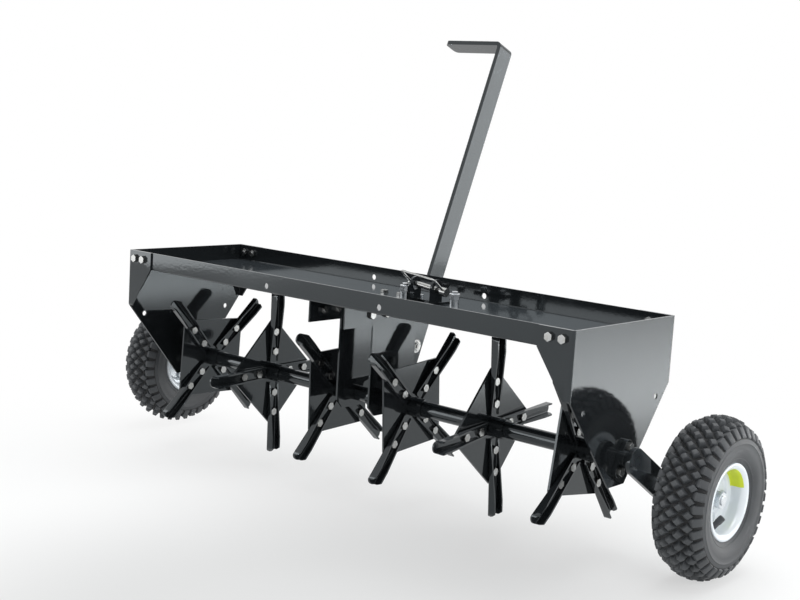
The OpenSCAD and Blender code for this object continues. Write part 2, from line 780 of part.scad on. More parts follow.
// Tread: a middle row of lozenge blocks between two rows of leaning shoulder lugs
module tread_blocks() {
  pitch = 360 / tread_count;
  block = 17;
  foot = 7;
  lug = [24, 13, 11];
  lug_lean = 50;
  top_r = sqrt(pow(tyre_d / 2, 2) - pow(block / sqrt(2), 2));
  for (k = [0 : tread_count - 1]) {
    rotate([k * pitch, 0, 0]) translate([0, 0, crown_r - foot]) rotate([0, 0, 45])
      translate([-block / 2, -block / 2, 0]) cube([block, block, top_r - crown_r + foot]);
    for (s = [-1, 1]) rotate([(k + 0.5) * pitch, 0, 0])
      translate([s * section_x * sin(lug_lean), 0, section_mid_r + section_r * cos(lug_lean)])
        rotate([0, s * lug_lean, 0]) translate([0, 0, -2]) cube(lug, center = true);
  }
}

module tyre() { color(rubber) { tyre_carcass(); tread_blocks(); } }

module tyre_left() { wheel_left() tyre(); }
module tyre_right() { wheel_right() tyre(); }

// Pressed rim half: flat disc, well wall, bead seat and rolled flange
disc_r = 42;
module rim_half() {
  hole_r = 17;
  seat_r = bead_r;
  flange_r = rim_d / 2;
  half = rim_w / 2;
  well = 8;
  color(rim_white) turned() {
    translate([hole_r, 0]) square([disc_r - hole_r, rim_t]);
    translate([disc_r - rim_t, 0]) square([rim_t, well]);
    translate([disc_r - rim_t, well - rim_t]) square([seat_r - disc_r + rim_t, rim_t]);
    translate([seat_r - rim_t, well - rim_t]) square([rim_t, half - well]);
    translate([seat_r - rim_t, half - rim_t]) square([flange_r - seat_r + rim_t, rim_t]);
    translate([flange_r - rim_t / 2, half]) circle(d = 2 * rim_t);
  }
}

module rim_outer_left() { wheel_left() rim_bored(0); }
module rim_inner_left() { wheel_left() rim_bored(1); }
module rim_outer_right() { wheel_right() rim_bored(0); }
module rim_inner_right() { wheel_right() rim_bored(1); }

rim_bolt_r = 30;
module rim_bored(side) {
  difference() {
    mirror([side, 0, 0]) rim_half();
    each_spoke() translate([0, rim_bolt_r, 0]) hole_x(0, bolt_d + 2 * bolt_room);
    if (side == 0) valve_line() cylinder(h = 30, d = valve_d + 2 * bolt_room, center = true);
  }
}

// Hub: a bored tube welded through the discs of both rim halves
module hub() {
  tube_d = 34;
  color(zinc) difference() {
    bar_x(-hub_in, hub_out, tube_d);
    bar_x(-2 * hub_in, 2 * hub_in, spindle_d + 2 * run_room);
  }
}

module hub_left() { wheel_left() hub(); }
module hub_right() { wheel_right() hub(); }

// Bolts that hold the rim halves together
module rim_bolts() {
  color(zinc) each_spoke() translate([rim_t, rim_bolt_r, 0]) mirror([1, 0, 0]) bolt_x(0, 2 * rim_t);
}
module rim_bolts_left() { wheel_left() rim_bolts(); }
module rim_bolts_right() { wheel_right() rim_bolts(); }

// Rubber valve stem through the outer rim half's well, leaning outwards
valve_d = 8;
valve_turn = -118;
valve_lean = 40;
valve_len = 22;
valve_neck = 3.2;
module valve_line() {
  rotate([valve_turn, 0, 0]) translate([rim_w / 4 - 2, bead_r - rim_t, 0]) rotate([90, 0, 0]) children();
}

module valve() {
  color(rubber) valve_line() {
    translate([0, 0, -rim_t - 1]) cylinder(h = rim_t + 1 + valve_neck, d = valve_d);
    translate([0, 0, valve_neck]) {
      rotate([0, valve_lean, 0]) cylinder(h = valve_len, d = valve_d);
      sphere(d = valve_d);
    }
  }
}
module valve_left() { wheel_left() valve(); }
module valve_right() { wheel_right() valve(); }

// Clamp studs: a bolt up through the floor with a spacer and a nut on top
stud_d = 10;
module clamp_studs() {
  sleeve_d = 16;
  nut_h = 10;
  below = 30;
  color(zinc) at_tray() for (p = stud_at) translate([p[0], p[1], 0]) {
    translate([0, 0, floor_z - below]) cylinder(h = below + tray_t + stud_up, d = stud_d);
    translate([0, 0, floor_top]) cylinder(h = stud_up - nut_h - 4, d = sleeve_d);
    translate([0, 0, floor_top + stud_up - nut_h - 4]) cylinder(h = nut_h, d = 17 / cos(30), $fn = 6);
    translate([0, 0, floor_z - 8]) cylinder(h = 8, d = 17 / cos(30), $fn = 6);
  }
}

// Pin bracket: a folded strap on the floor with two ears for the hitch pin
ear_t = 4;
pin_bolt_at = [[pin_at[0] - 32, pin_at[1] + 24], [pin_at[0] + 10, pin_at[1] + 24]];
pin_z = floor_top + pin_up;

module pin_bracket() {
  base_w = ear_gap + 2 * ear_t + 40;
  base_d = 44;
  ear_w = 30;
  ear_hole = 2 * (ear_gap / 2 + ear_t) * tan(pin_slope) + pin_d / cos(pin_slope) + 0.04;
  color(black_paint) at_tray() difference() {
    translate([pin_at[0], 0, 0]) {
      translate([-ear_gap / 2 - ear_t - 18, pin_at[1] + 6, floor_top]) cube([base_w - 20, base_d - 10, ear_t]);
      for (x = [-ear_gap / 2 - ear_t, ear_gap / 2]) side_sheet(x, ear_t) translate([pin_at[1], 0]) {
        translate([-ear_w / 2, floor_top]) square([ear_w, pin_up]);
        translate([0, pin_z]) circle(d = ear_w);
      }
    }
    translate([pin_at[0], pin_at[1], pin_z]) bar_x(-ear_gap, ear_gap, ear_hole);
    for (p = pin_bolt_at) translate([p[0], p[1], floor_top - 1])
      cylinder(h = ear_t + 2, d = bolt_d + 2 * bolt_room);
  }
}

module pin_bracket_bolts() {
  color(zinc) at_tray() for (p = pin_bolt_at)
    translate([p[0], p[1], floor_top + ear_t]) rotate([0, 90, 0]) bolt_x(0, ear_t + tray_t);
}

// Hitch pin with a cross-drilled head
pin_head_d = 16;
pin_head_l = 11;
module at_pin() { at_tray() translate([pin_at[0], pin_at[1], pin_z]) rotate([0, pin_slope, 0]) children(); }
module at_bail() {
  at_pin() translate([pin_len / 2 + pin_head_l / 2, 0, 0]) rotate([bail_lean, 0, 0]) children();
}

module hitch_pin() {
  color(zinc) difference() {
    at_pin() {
      bar_x(-pin_len / 2, pin_len / 2 + 1, pin_d);
      bar_x(pin_len / 2, pin_len / 2 + pin_head_l, pin_head_d);
    }
    at_bail() cylinder(h = 3 * pin_head_d, d = wire_d + 2 * run_room, center = true);
  }
}

// Square wire bail: out of the head, along the pin and back onto its tip
module bail() {
  r = 6;
  run = pin_len + pin_head_l / 2 - 4;
  foot = pin_d / 2 + side_room;
  color(zinc) at_bail() {
    translate([0, 0, -pin_head_d / 2]) cylinder(h = bail_h - r + pin_head_d / 2, d = wire_d);
    translate([-r, 0, bail_h - r]) wire_bend(r, 0);
    translate([-run + r, 0, bail_h]) rotate([0, 90, 0]) cylinder(h = run - 2 * r, d = wire_d);
    translate([-run + r, 0, bail_h - r]) wire_bend(r, 90);
    translate([-run, 0, foot]) cylinder(h = bail_h - r - foot, d = wire_d);
  }
}

// A quarter bend of the wire in the X-Z plane, starting at an angle from +X
module wire_bend(r, from) {
  rotate([90, 0, 0]) rotate([0, 0, from]) rotate_extrude(angle = 90) translate([r, 0]) circle(d = wire_d);
}

tray();
end_plate_left();
end_plate_right();
flange_bolts();
drawbar_channel();
channel_bolts();
hanger_left();
hanger_right();
hanger_bolts();
drawbar_bolts();
axle_bearings();
bearing_bolts();
lever_pivot();
lever_spacer();
pin_bracket();
pin_bracket_bolts();
clamp_studs();
hitch_pin();
bail();
axle_shaft();
drive_plate();
spacer_tubes();
crank_left();
crank_right();
crank_sleeves();
wheel_spindles();
spindle_nuts();
lever_bar();
drive_pin();
star_plate_1();
spoons_1();
spoon_bolts_1();
star_plate_2();
spoons_2();
spoon_bolts_2();
star_plate_3();
spoons_3();
spoon_bolts_3();
star_plate_4();
spoons_4();
spoon_bolts_4();
star_plate_5();
spoons_5();
spoon_bolts_5();
star_plate_6();
spoons_6();
spoon_bolts_6();
tyre_left();
rim_outer_left();
rim_inner_left();
hub_left();
rim_bolts_left();
valve_left();
tyre_right();
rim_outer_right();
rim_inner_right();
hub_right();
rim_bolts_right();
valve_right();
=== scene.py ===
import json
import math
import bpy
from mathutils import Matrix, Vector


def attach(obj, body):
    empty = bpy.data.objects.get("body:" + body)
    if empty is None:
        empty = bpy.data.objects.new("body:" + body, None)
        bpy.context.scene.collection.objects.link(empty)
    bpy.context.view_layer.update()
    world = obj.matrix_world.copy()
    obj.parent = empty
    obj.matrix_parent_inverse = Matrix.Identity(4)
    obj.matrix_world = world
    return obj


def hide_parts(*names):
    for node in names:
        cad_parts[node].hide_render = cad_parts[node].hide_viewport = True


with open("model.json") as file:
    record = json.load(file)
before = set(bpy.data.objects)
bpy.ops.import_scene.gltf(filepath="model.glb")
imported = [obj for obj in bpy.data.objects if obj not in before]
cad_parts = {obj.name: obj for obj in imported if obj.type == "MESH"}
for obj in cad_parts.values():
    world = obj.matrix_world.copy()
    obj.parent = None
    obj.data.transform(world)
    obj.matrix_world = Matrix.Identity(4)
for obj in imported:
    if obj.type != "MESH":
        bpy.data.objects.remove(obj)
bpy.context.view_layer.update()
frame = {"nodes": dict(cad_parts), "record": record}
scene = bpy.context.scene

# The studio: a white paper floor in a bright white room under a broad soft lamp. A bright
# patch of floor and a low panel off to the right, and a panel to the left, show in the paint.
scene.view_settings.view_transform = "Standard"


def linear(code):
    """An sRGB hex colour as linear red, green, blue and alpha."""
    shares = [int(code[i:i + 2], 16) / 255 for i in (1, 3, 5)]
    return [s / 12.92 if s <= 0.04045 else ((s + 0.055) / 1.055) ** 2.4 for s in shares] + [1.0]


def add(tree, kind, inputs=None, **settings):
    """Adds a node, with its settings, and sets or links its inputs."""
    made = tree.nodes.new(kind)
    for name, value in settings.items():
        setattr(made, name, value)
    for name, value in (inputs or {}).items():
        if isinstance(value, bpy.types.NodeSocket):
            tree.links.new(value, made.inputs[name])
        else:
            made.inputs[name].default_value = value
    return made


def empty_tree(owner):
    """The owner's node tree, with nothing in it."""
    owner.use_nodes = True
    owner.node_tree.nodes.clear()
    return owner.node_tree


def seen_directly(tree):
    """1 for what the camera, a mirror-like surface or glass sees, and 0 for light that falls."""
    rays = add(tree, "ShaderNodeLightPath").outputs
    mirror = add(tree, "ShaderNodeMath", {0: rays["Is Camera Ray"], 1: rays["Is Glossy Ray"]},
                 operation="MAXIMUM")
    glass = add(tree, "ShaderNodeMath", {0: mirror.outputs[0], 1: rays["Is Transmission Ray"]},
                operation="MAXIMUM")
    return glass.outputs[0]


room = bpy.data.worlds.new("white room")
scene.world = room
tree = empty_tree(room)
falling = add(tree, "ShaderNodeBackground", {"Color": linear("#FFFFFF"), "Strength": 0.42})
shown = add(tree, "ShaderNodeBackground", {"Color": linear("#FFFFFF"), "Strength": 1.0})
both = add(tree, "ShaderNodeMixShader",
           {0: seen_directly(tree), 1: falling.outputs[0], 2: shown.outputs[0]})
add(tree, "ShaderNodeOutputWorld", {"Surface": both.outputs[0]})

# The floor is a broad sheet of matt white paper. It looks whiter than its light alone makes
# it, most of all to the left and 5 m off, where it runs into the white room.
bpy.ops.object.select_all(action="DESELECT")
bpy.ops.mesh.primitive_plane_add(size=40, location=(0, 0, 0))
floor = bpy.context.object
floor.name = "paper_floor"
paper = bpy.data.materials.new("matt white paper")
tree = empty_tree(paper)
place = add(tree, "ShaderNodeTexCoord").outputs["Object"]
near_share = 0.62
away = add(tree, "ShaderNodeVectorMath", {0: place}, operation="LENGTH")
far_off = add(tree, "ShaderNodeMapRange", {
    "Value": away.outputs["Value"], "From Min": 0.6, "From Max": 4.6,
    "To Min": near_share, "To Max": 1.0}, interpolation_type="SMOOTHSTEP")
aside = add(tree, "ShaderNodeVectorMath", {0: place, 1: (-0.8, 0.6, 0)}, operation="DOT_PRODUCT")
to_left = add(tree, "ShaderNodeMapRange", {
    "Value": aside.outputs["Value"], "From Min": 0.05, "From Max": 0.75,
    "To Min": near_share, "To Max": 1.0}, interpolation_type="SMOOTHSTEP")
whiter = add(tree, "ShaderNodeMath", {0: far_off.outputs[0], 1: to_left.outputs[0]},
             operation="MAXIMUM")
share = add(tree, "ShaderNodeMath", {0: whiter.outputs[0], 1: seen_directly(tree)},
            operation="MULTIPLY")
sheet = add(tree, "ShaderNodeBsdfDiffuse", {"Color": linear("#F4F6F6")})
# Painted shadow: the paper's glow dims a little in front of the machine, standing in for the machine's
# soft shadow there
off_painted_shadow = add(tree, "ShaderNodeVectorMath", {0: place, 1: (0.45, -0.65, 0)}, operation="DISTANCE")
painted_shadow_level = add(tree, "ShaderNodeMapRange", {
    "Value": off_painted_shadow.outputs["Value"], "From Min": 0.3, "From Max": 0.8,
    "To Min": 0.63, "To Max": 1.0}, interpolation_type="SMOOTHSTEP")
glow = add(tree, "ShaderNodeEmission", {"Color": linear("#FFFFFF"), "Strength": painted_shadow_level.outputs[0]})
both = add(tree, "ShaderNodeMixShader",
           {0: share.outputs[0], 1: sheet.outputs[0], 2: glow.outputs[0]})
add(tree, "ShaderNodeOutputMaterial", {"Surface": both.outputs[0]})
floor.data.materials.append(paper)


def soft_lamp(name, place, aim, width, height, watts, spread=180, mirrored=True):
    """A flat lamp in metres and degrees that the camera doesn't see, and paint only if mirrored."""
    lamp = bpy.data.objects.new(name, bpy.data.lights.new(name, "AREA"))
    lamp.data.shape = "RECTANGLE"
    lamp.data.size = width
    lamp.data.size_y = height
    lamp.data.energy = watts
    lamp.data.spread = math.radians(spread)
    lamp.location = place
    lamp.rotation_mode = "QUATERNION"
    lamp.rotation_quaternion = (Vector(aim) - Vector(place)).to_track_quat("-Z", "Y")
    lamp.visible_camera = False
    lamp.visible_glossy = mirrored
    scene.collection.objects.link(lamp)


soft_lamp("ceiling_lamp", (0.2, 0.1, 3.2), (0, 0, 0.2), 4.0, 3.2, 80)
soft_lamp("floor_lamp", (1.8, 1.68, 1.3), (1.8, 1.68, 0), 1.6, 2.4, 113, spread=22)
soft_lamp("right_panel", (2.25, 2.87, 0.72), (0.1, 0, 0.55), 3.2, 1.6, 42)
soft_lamp("left_panel", (-2.1, -2.6, 0.6), (0, -0.2, 0.4), 3.0, 1.4, 36)
soft_lamp("side_lamp", (2.6, -0.9, 1.3), (0.6, 0, 0.2), 1.6, 1.2, 21, mirrored=False)

# The camera stands low, off the right-hand front corner, tilted a little to one side. It
# keeps its place to the tray, whose middle lies a little in front of the axle's line.
place_of = {j["name"]: Vector(j["pos_m"]) for j in frame["record"]["behaviour"]["joints"]}
axle_to_tray = 0.010
tray_y = place_of["axle_turn"].y - axle_to_tray
camera_distance = 2.5056
aim_point = Vector((-0.05798, 0.13421 + tray_y, 0.33949))
turn, rise, tilt = (math.radians(a) for a in (40.378, 8.177, 3.527))
camera = bpy.data.objects.new("camera", bpy.data.cameras.new("camera"))
scene.collection.objects.link(camera)
scene.camera = camera
camera.data.sensor_width = 36
camera.data.lens = 59.85
backward = Vector((math.sin(turn) * math.cos(rise), -math.cos(turn) * math.cos(rise), math.sin(rise)))
level = Vector((0, 0, 1)).cross(backward).normalized()
upright = backward.cross(level)
across = math.cos(tilt) * level + math.sin(tilt) * upright
above = math.cos(tilt) * upright - math.sin(tilt) * level
axes = Matrix((across, above, backward)).transposed().to_4x4()
camera.matrix_world = Matrix.Translation(aim_point + camera_distance * backward) @ axes

# Folded sheet-steel tray and end plates: cut, folded and powder-coated gloss black. The
# melted powder leaves a faint orange peel, and the cut edges are slightly rounded.
body_of = {n: body for body, nodes in frame["record"]["behaviour"]["bodies"].items() for n in nodes}

# The coat is a dark mirror: it shows the floor and the panels, hazy in patches of some 140 mm
coat = bpy.data.materials.new("gloss black powder coat")
tree = empty_tree(coat)
place = add(tree, "ShaderNodeTexCoord").outputs["Object"]
haze = add(tree, "ShaderNodeTexNoise", {"Vector": place, "Scale": 7, "Detail": 5})
gloss = add(tree, "ShaderNodeMapRange", {
    "Value": haze.outputs[0], "From Min": 0.3, "From Max": 0.75, "To Min": 0.045, "To Max": 0.1})
tone = add(tree, "ShaderNodeMix", {
    "Factor": haze.outputs[0], "A": linear("#141618"), "B": linear("#1D2022")}, data_type="RGBA")
# Orange peel about 5 mm across, drawn coarser than the real 2 mm so that it shows
peel = add(tree, "ShaderNodeTexNoise", {"Vector": place, "Scale": 200, "Detail": 1.5})
lumps = add(tree, "ShaderNodeBump", {"Height": peel.outputs[0], "Strength": 0.05, "Distance": 0.0006})
# The faces that look up are coloured paler
facing = add(tree, "ShaderNodeSeparateXYZ", {0: add(tree, "ShaderNodeTexCoord").outputs["Normal"]})
up_facing_share = add(tree, "ShaderNodeMapRange", {"Value": facing.outputs["Z"], "From Min": 0.8, "From Max": 0.98})
paler_facing_up = add(tree, "ShaderNodeMix", {
    "Factor": up_facing_share.outputs[0], "A": tone.outputs["Result"], "B": linear("#3A3F43")}, data_type="RGBA")
skin = add(tree, "ShaderNodeBsdfPrincipled", {
    "Base Color": paler_facing_up.outputs["Result"], "Roughness": gloss.outputs[0], "IOR": 1.55,
    "Specular Tint": linear("#F0FAFF"), "Normal": lumps.outputs[0]})
add(tree, "ShaderNodeOutputMaterial", {"Surface": skin.outputs[0]})


def rounded(name, finish, width=0.0006, steps=2):
    """A CAD piece with its finish, copied so that its sharp edges can be broken by a small round."""
    bpy.ops.object.select_all(action="DESELECT")
    source = frame["nodes"][name]
    piece = bpy.data.objects.new(name + "_finished", source.data.copy())
    scene.collection.objects.link(piece)
    bpy.context.view_layer.objects.active = piece
    piece.select_set(True)
    bpy.ops.object.mode_set(mode="EDIT")
    bpy.ops.mesh.select_all(action="SELECT")
    bpy.ops.mesh.remove_doubles(threshold=0.00001)
    bpy.ops.mesh.customdata_custom_splitnormals_clear()
    bpy.ops.mesh.dissolve_limited(angle_limit=math.radians(0.5))
    bpy.ops.object.mode_set(mode="OBJECT")
    broken = piece.modifiers.new("broken edges", "BEVEL")
    broken.width = width
    broken.segments = steps
    broken.limit_method = "ANGLE"
    broken.angle_limit = math.radians(40)
    broken.harden_normals = False
    bpy.ops.object.modifier_apply(modifier=broken.name)
    bpy.ops.object.shade_smooth_by_angle(angle=math.radians(32))
    flat = piece.modifiers.new("flat faces", "WEIGHTED_NORMAL")
    flat.keep_sharp = True
    flat.weight = 90
    bpy.ops.object.modifier_apply(modifier=flat.name)
    piece.data.materials.clear()
    piece.data.materials.append(finish)
    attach(piece, body_of[name])
    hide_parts(name)
    return piece


for name in ("tray", "end_plate_left", "end_plate_right"):
    rounded(name, coat, 0.0008)


# Zinc-plated bolts and nuts hold the flanges, the bearings and the centre frame. Bright zinc
# is a grey metal with a soft shine, cloudy in spots of some 6 mm, with a faint warm cast.
def zinc_plate(name, pale, dark):
    """Cloudy bright zinc between two tones."""
    made = bpy.data.materials.new(name)
    tree = empty_tree(made)
    place = add(tree, "ShaderNodeTexCoord").outputs["Object"]
    cloud = add(tree, "ShaderNodeTexNoise", {"Vector": place, "Scale": 160, "Detail": 3})
    tone = add(tree, "ShaderNodeMix", {
        "Factor": cloud.outputs[0], "A": linear(pale), "B": linear(dark)}, data_type="RGBA")
    matt = add(tree, "ShaderNodeMapRange", {"Value": cloud.outputs[0], "To Min": 0.14, "To Max": 0.32})
    skin = add(tree, "ShaderNodeBsdfPrincipled", {
        "Base Color": tone.outputs["Result"], "Metallic": 1.0, "Roughness": matt.outputs[0]})
    add(tree, "ShaderNodeOutputMaterial", {"Surface": skin.outputs[0]})
    return made


zinc = zinc_plate("bright zinc plate", "#A8ABAE", "#83817A")
domed = 0.0014
for name in ("flange_bolts", "channel_bolts", "hanger_bolts", "drawbar_bolts", "bearing_bolts"):
    rounded(name, zinc, domed, 3)

# Centre frame: a pressed drawbar channel under the tray and two hanger plates for the
# axle, all from the same coated sheet, with the axle's bearings bolted to the end plates.
for name in ("drawbar_channel", "hanger_left", "hanger_right", "axle_bearings"):
    rounded(name, coat, 0.0007)

# Axle: a coated rod with spacer tubes, its drive plate, and a flat crank bar on each end
# with the zinc-plated wheel spindle bolted through it. Their plate is paler than the bolts'.
for name in ("axle_shaft", "drive_plate", "spacer_tubes", "crank_left", "crank_right", "crank_sleeves"):
    rounded(name, coat, 0.0007)
pale_zinc = zinc_plate("pale zinc plate", "#DEE2E6", "#C6CACD")
for name in ("wheel_spindles", "spindle_nuts"):
    rounded(name, pale_zinc, 0.0008)

# Tine stars: a laser-cut square plate welded on its hub, with four pressed spoons
# bolted on and all of it coated black.
for k in range(1, 7):
    rounded(f"star_plate_{k}", coat, 0.0007)
    rounded(f"spoons_{k}", coat, 0.0006)
    rounded(f"spoon_bolts_{k}", zinc, domed, 3)

# Lift lever: a flat bar bent square at the top for the hand and coated black, on a plated
# pivot bolt. The bolt's washer is a wide one under a low nut, so its rim is drawn out from
# the bolt's line and the nut is drawn in.
rounded("lever_bar", coat, 0.0009, 3)
for name in ("lever_spacer", "drive_pin"):
    rounded(name, zinc, 0.0007)
pivot = rounded("lever_pivot", zinc, 0.0007)
pivot_line = place_of["lever_swing"]
washer_inside = 0.0135
nut_foot = max(c.co.x for c in pivot.data.vertices if (c.co - pivot_line).yz.length > washer_inside)


def drawn(piece, chosen, stretch, centre):
    """Draws the chosen corners of the active piece out from a centre, or in towards it."""
    for corner in piece.data.vertices:
        corner.select = chosen(corner.co)
    bpy.ops.object.mode_set(mode="EDIT")
    bpy.ops.mesh.select_mode(type="VERT")
    bpy.ops.transform.resize(value=stretch, center_override=centre)
    bpy.ops.object.mode_set(mode="OBJECT")


drawn(pivot, lambda at: (at - pivot_line).yz.length > washer_inside, (1, 1.17, 1.17), pivot_line)
drawn(pivot, lambda at: at.x > nut_foot + 0.0002, (0.4, 0.72, 0.72),
      (nut_foot, pivot_line.y, pivot_line.z))

# Tray fittings: a folded and coated bracket with the plated hitch pin parked in it, held by
# a wire bail, and two tall clamp studs.
rounded("pin_bracket", coat, 0.0007)
for name in ("pin_bracket_bolts", "clamp_studs"):
    rounded(name, pale_zinc, 0.0006)
for name in ("hitch_pin", "bail"):
    rounded(name, zinc, 0.0006)

# Wheel hubs: a plated steel tube on each spindle, and the plated bolts that clamp the two
# rim halves together.
for side in ("left", "right"):
    rounded("hub_" + side, pale_zinc)
    rounded("rim_bolts_" + side, pale_zinc)

# Rim halves: pressed from sheet with a flat middle, a deep well and a rolled lip, set on the
# hub tube. Their silver-white paint is pale with a slight metal glint, its flakes under 2 mm.
silver = bpy.data.materials.new("silver-white rim paint")
tree = empty_tree(silver)
place = add(tree, "ShaderNodeTexCoord").outputs["Object"]
flake = add(tree, "ShaderNodeTexNoise", {"Vector": place, "Scale": 600, "Detail": 2})
haze = add(tree, "ShaderNodeTexNoise", {"Vector": place, "Scale": 18, "Detail": 4})
tone = add(tree, "ShaderNodeMix", {
    "Factor": haze.outputs[0], "A": linear("#E8EDF1"), "B": linear("#D6DDE3")}, data_type="RGBA")
grit = add(tree, "ShaderNodeBump", {"Height": flake.outputs[0], "Strength": 0.06, "Distance": 0.0003})
skin = add(tree, "ShaderNodeBsdfPrincipled", {
    "Base Color": tone.outputs["Result"], "Metallic": 0.25, "Roughness": 0.28, "Normal": grit.outputs[0]})
add(tree, "ShaderNodeOutputMaterial", {"Surface": skin.outputs[0]})


def spun(name, outline, steps=96, angle=2 * math.pi):
    """A closed outline of (radius, x) points in millimetres, turned about the X axis."""
    bpy.ops.object.select_all(action="DESELECT")
    last = len(outline)
    points = [(x / 1000, 0, r / 1000) for r, x in outline]
    mesh = bpy.data.meshes.new(name)
    mesh.from_pydata(points, [(i, (i + 1) % last) for i in range(last)], [])
    piece = bpy.data.objects.new(name, mesh)
    scene.collection.objects.link(piece)
    bpy.context.view_layer.objects.active = piece
    piece.select_set(True)
    bpy.ops.object.mode_set(mode="EDIT")
    bpy.ops.mesh.select_all(action="SELECT")
    bpy.ops.mesh.spin(steps=steps, angle=angle, center=(0, 0, 0), axis=(1, 0, 0))
    bpy.ops.mesh.select_all(action="SELECT")
    bpy.ops.mesh.remove_doubles(threshold=0.00001)
    bpy.ops.mesh.normals_make_consistent(inside=False)
    bpy.ops.object.mode_set(mode="OBJECT")
    return piece


def on_wheel(piece, side, flip=False):
    """Moves a piece made about the origin to a wheel's middle; +X there points away from the machine."""
    sign = 1 if side == "right" else -1
    turned = -sign if flip else sign
    middle = Matrix.Translation(place_of[f"wheel_{side}_spin"])
    piece.data.transform(middle @ Matrix.Diagonal((turned, 1, 1, 1)))
    if turned < 0:
        piece.data.flip_normals()
    return piece


rim_outline = [
    (17, 2), (36, 2), (38.6, 2.8), (40, 4.8), (41, 6.8), (43, 8), (46, 8.4), (48, 9.6), (48.8, 12),
    (49, 16), (49, 23), (49.6, 26.5), (51.2, 29.8), (54, 32.3), (57, 33.8), (59.4, 34.3), (61.1, 33.8),
    (61.9, 32.4), (61.5, 31.1), (60.6, 30.8), (60.1, 31.6), (59.2, 32.3), (57.4, 31.9), (55, 30.6),
    (53, 28.5), (51.7, 25.8), (51, 22.6), (51, 16), (50.8, 11.5), (49.5, 8.2), (47, 6.6), (43.4, 6),
    (42.5, 5), (41.4, 2.4), (39.4, 0.6), (36.4, 0), (17, 0)]
smooth_below = math.radians(40)
for side in ("left", "right"):
    for half, flip in (("outer", False), ("inner", True)):
        rim = on_wheel(spun(f"rim_{half}_{side}_pressing", rim_outline), side, flip)
        rim.data.materials.append(silver)
        bpy.ops.object.shade_smooth_by_angle(angle=smooth_below)
        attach(rim, "wheel_" + side)
        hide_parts(f"rim_{half}_{side}")

# Valve stems: moulded rubber with a collar against the rim and a screw cap, pulled through
# the well and leaning outwards. The rubber is a dull dark grey, cloudy with bloom in patches
# of some 45 mm and grained at about 2 mm.
rubber = bpy.data.materials.new("moulded tyre rubber")
tree = empty_tree(rubber)
place = add(tree, "ShaderNodeTexCoord").outputs["Object"]
grain = add(tree, "ShaderNodeTexNoise", {"Vector": place, "Scale": 450, "Detail": 3})
bloom = add(tree, "ShaderNodeTexNoise", {"Vector": place, "Scale": 22, "Detail": 5})
tone = add(tree, "ShaderNodeMix", {
    "Factor": bloom.outputs[0], "A": linear("#2C2E31"), "B": linear("#4A4D50")}, data_type="RGBA")
rough = add(tree, "ShaderNodeMapRange", {"Value": bloom.outputs[0], "To Min": 0.45, "To Max": 0.65})
grit = add(tree, "ShaderNodeBump", {"Height": grain.outputs[0], "Strength": 0.15, "Distance": 0.0005})
skin = add(tree, "ShaderNodeBsdfPrincipled", {
    "Base Color": tone.outputs["Result"], "Roughness": rough.outputs[0], "Normal": grit.outputs[0]})
add(tree, "ShaderNodeOutputMaterial", {"Surface": skin.outputs[0]})

stem_outline = [
    (0.01, -3), (4, -3), (4.1, 0), (6.8, 0.1), (7.2, 1), (6.6, 2.2), (5.4, 4.4), (4.9, 7), (4.7, 15.4),
    (5.2, 16), (5.4, 17), (5.4, 26), (4.9, 27.6), (3.4, 28.3), (0.01, 28.4)]
round_wheel = Matrix.Rotation(math.radians(-118), 4, "X")
in_well = Matrix.Translation((0.0155, 0.049, 0))
leaning = Matrix.Rotation(math.radians(-60), 4, "Z")
for side in ("left", "right"):
    stem = spun(f"valve_{side}_stem", stem_outline, 32)
    stem.data.transform(round_wheel @ in_well @ leaning)
    on_wheel(stem, side)
    stem.data.materials.append(rubber)
    bpy.ops.object.shade_smooth_by_angle(angle=smooth_below)
    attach(stem, "wheel_" + side)
    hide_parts("valve_" + side)

# A plain paper label, printed yellow all over, sticks on the well of the right-hand rim.
# It is a thin skin that follows the well, matt and faintly mottled at about 11 mm.
yellow = bpy.data.materials.new("yellow paper label")
tree = empty_tree(yellow)
place = add(tree, "ShaderNodeTexCoord").outputs["Object"]
fibre = add(tree, "ShaderNodeTexNoise", {"Vector": place, "Scale": 90, "Detail": 4})
tone = add(tree, "ShaderNodeMix", {
    "Factor": fibre.outputs[0], "A": linear("#D3E02F"), "B": linear("#C6D42C")}, data_type="RGBA")
skin = add(tree, "ShaderNodeBsdfPrincipled", {"Base Color": tone.outputs["Result"], "Roughness": 0.5})
add(tree, "ShaderNodeOutputMaterial", {"Surface": skin.outputs[0]})

label_arc = math.radians(64)
label_start = math.radians(-10)
under = [
    (46.9, 8.95), (48, 9.75), (48.65, 11), (48.9, 13.5), (48.98, 17), (48.98, 23), (49.55, 26.5),
    (51.15, 29.8), (51.6, 30.3)]
over = [(r - 0.25, x + 0.05) for r, x in reversed(under)]
label = spun("rim_label", under + over, 20, label_arc)
bpy.ops.object.mode_set(mode="EDIT")
bpy.ops.mesh.select_all(action="SELECT")
bpy.ops.mesh.fill_holes(sides=0)
bpy.ops.mesh.normals_make_consistent(inside=False)
bpy.ops.object.mode_set(mode="OBJECT")
label.data.transform(Matrix.Rotation(label_start, 4, "X"))
on_wheel(label, "right")
label.data.materials.append(yellow)
bpy.ops.object.shade_smooth_by_angle(angle=smooth_below)
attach(label, "wheel_right")

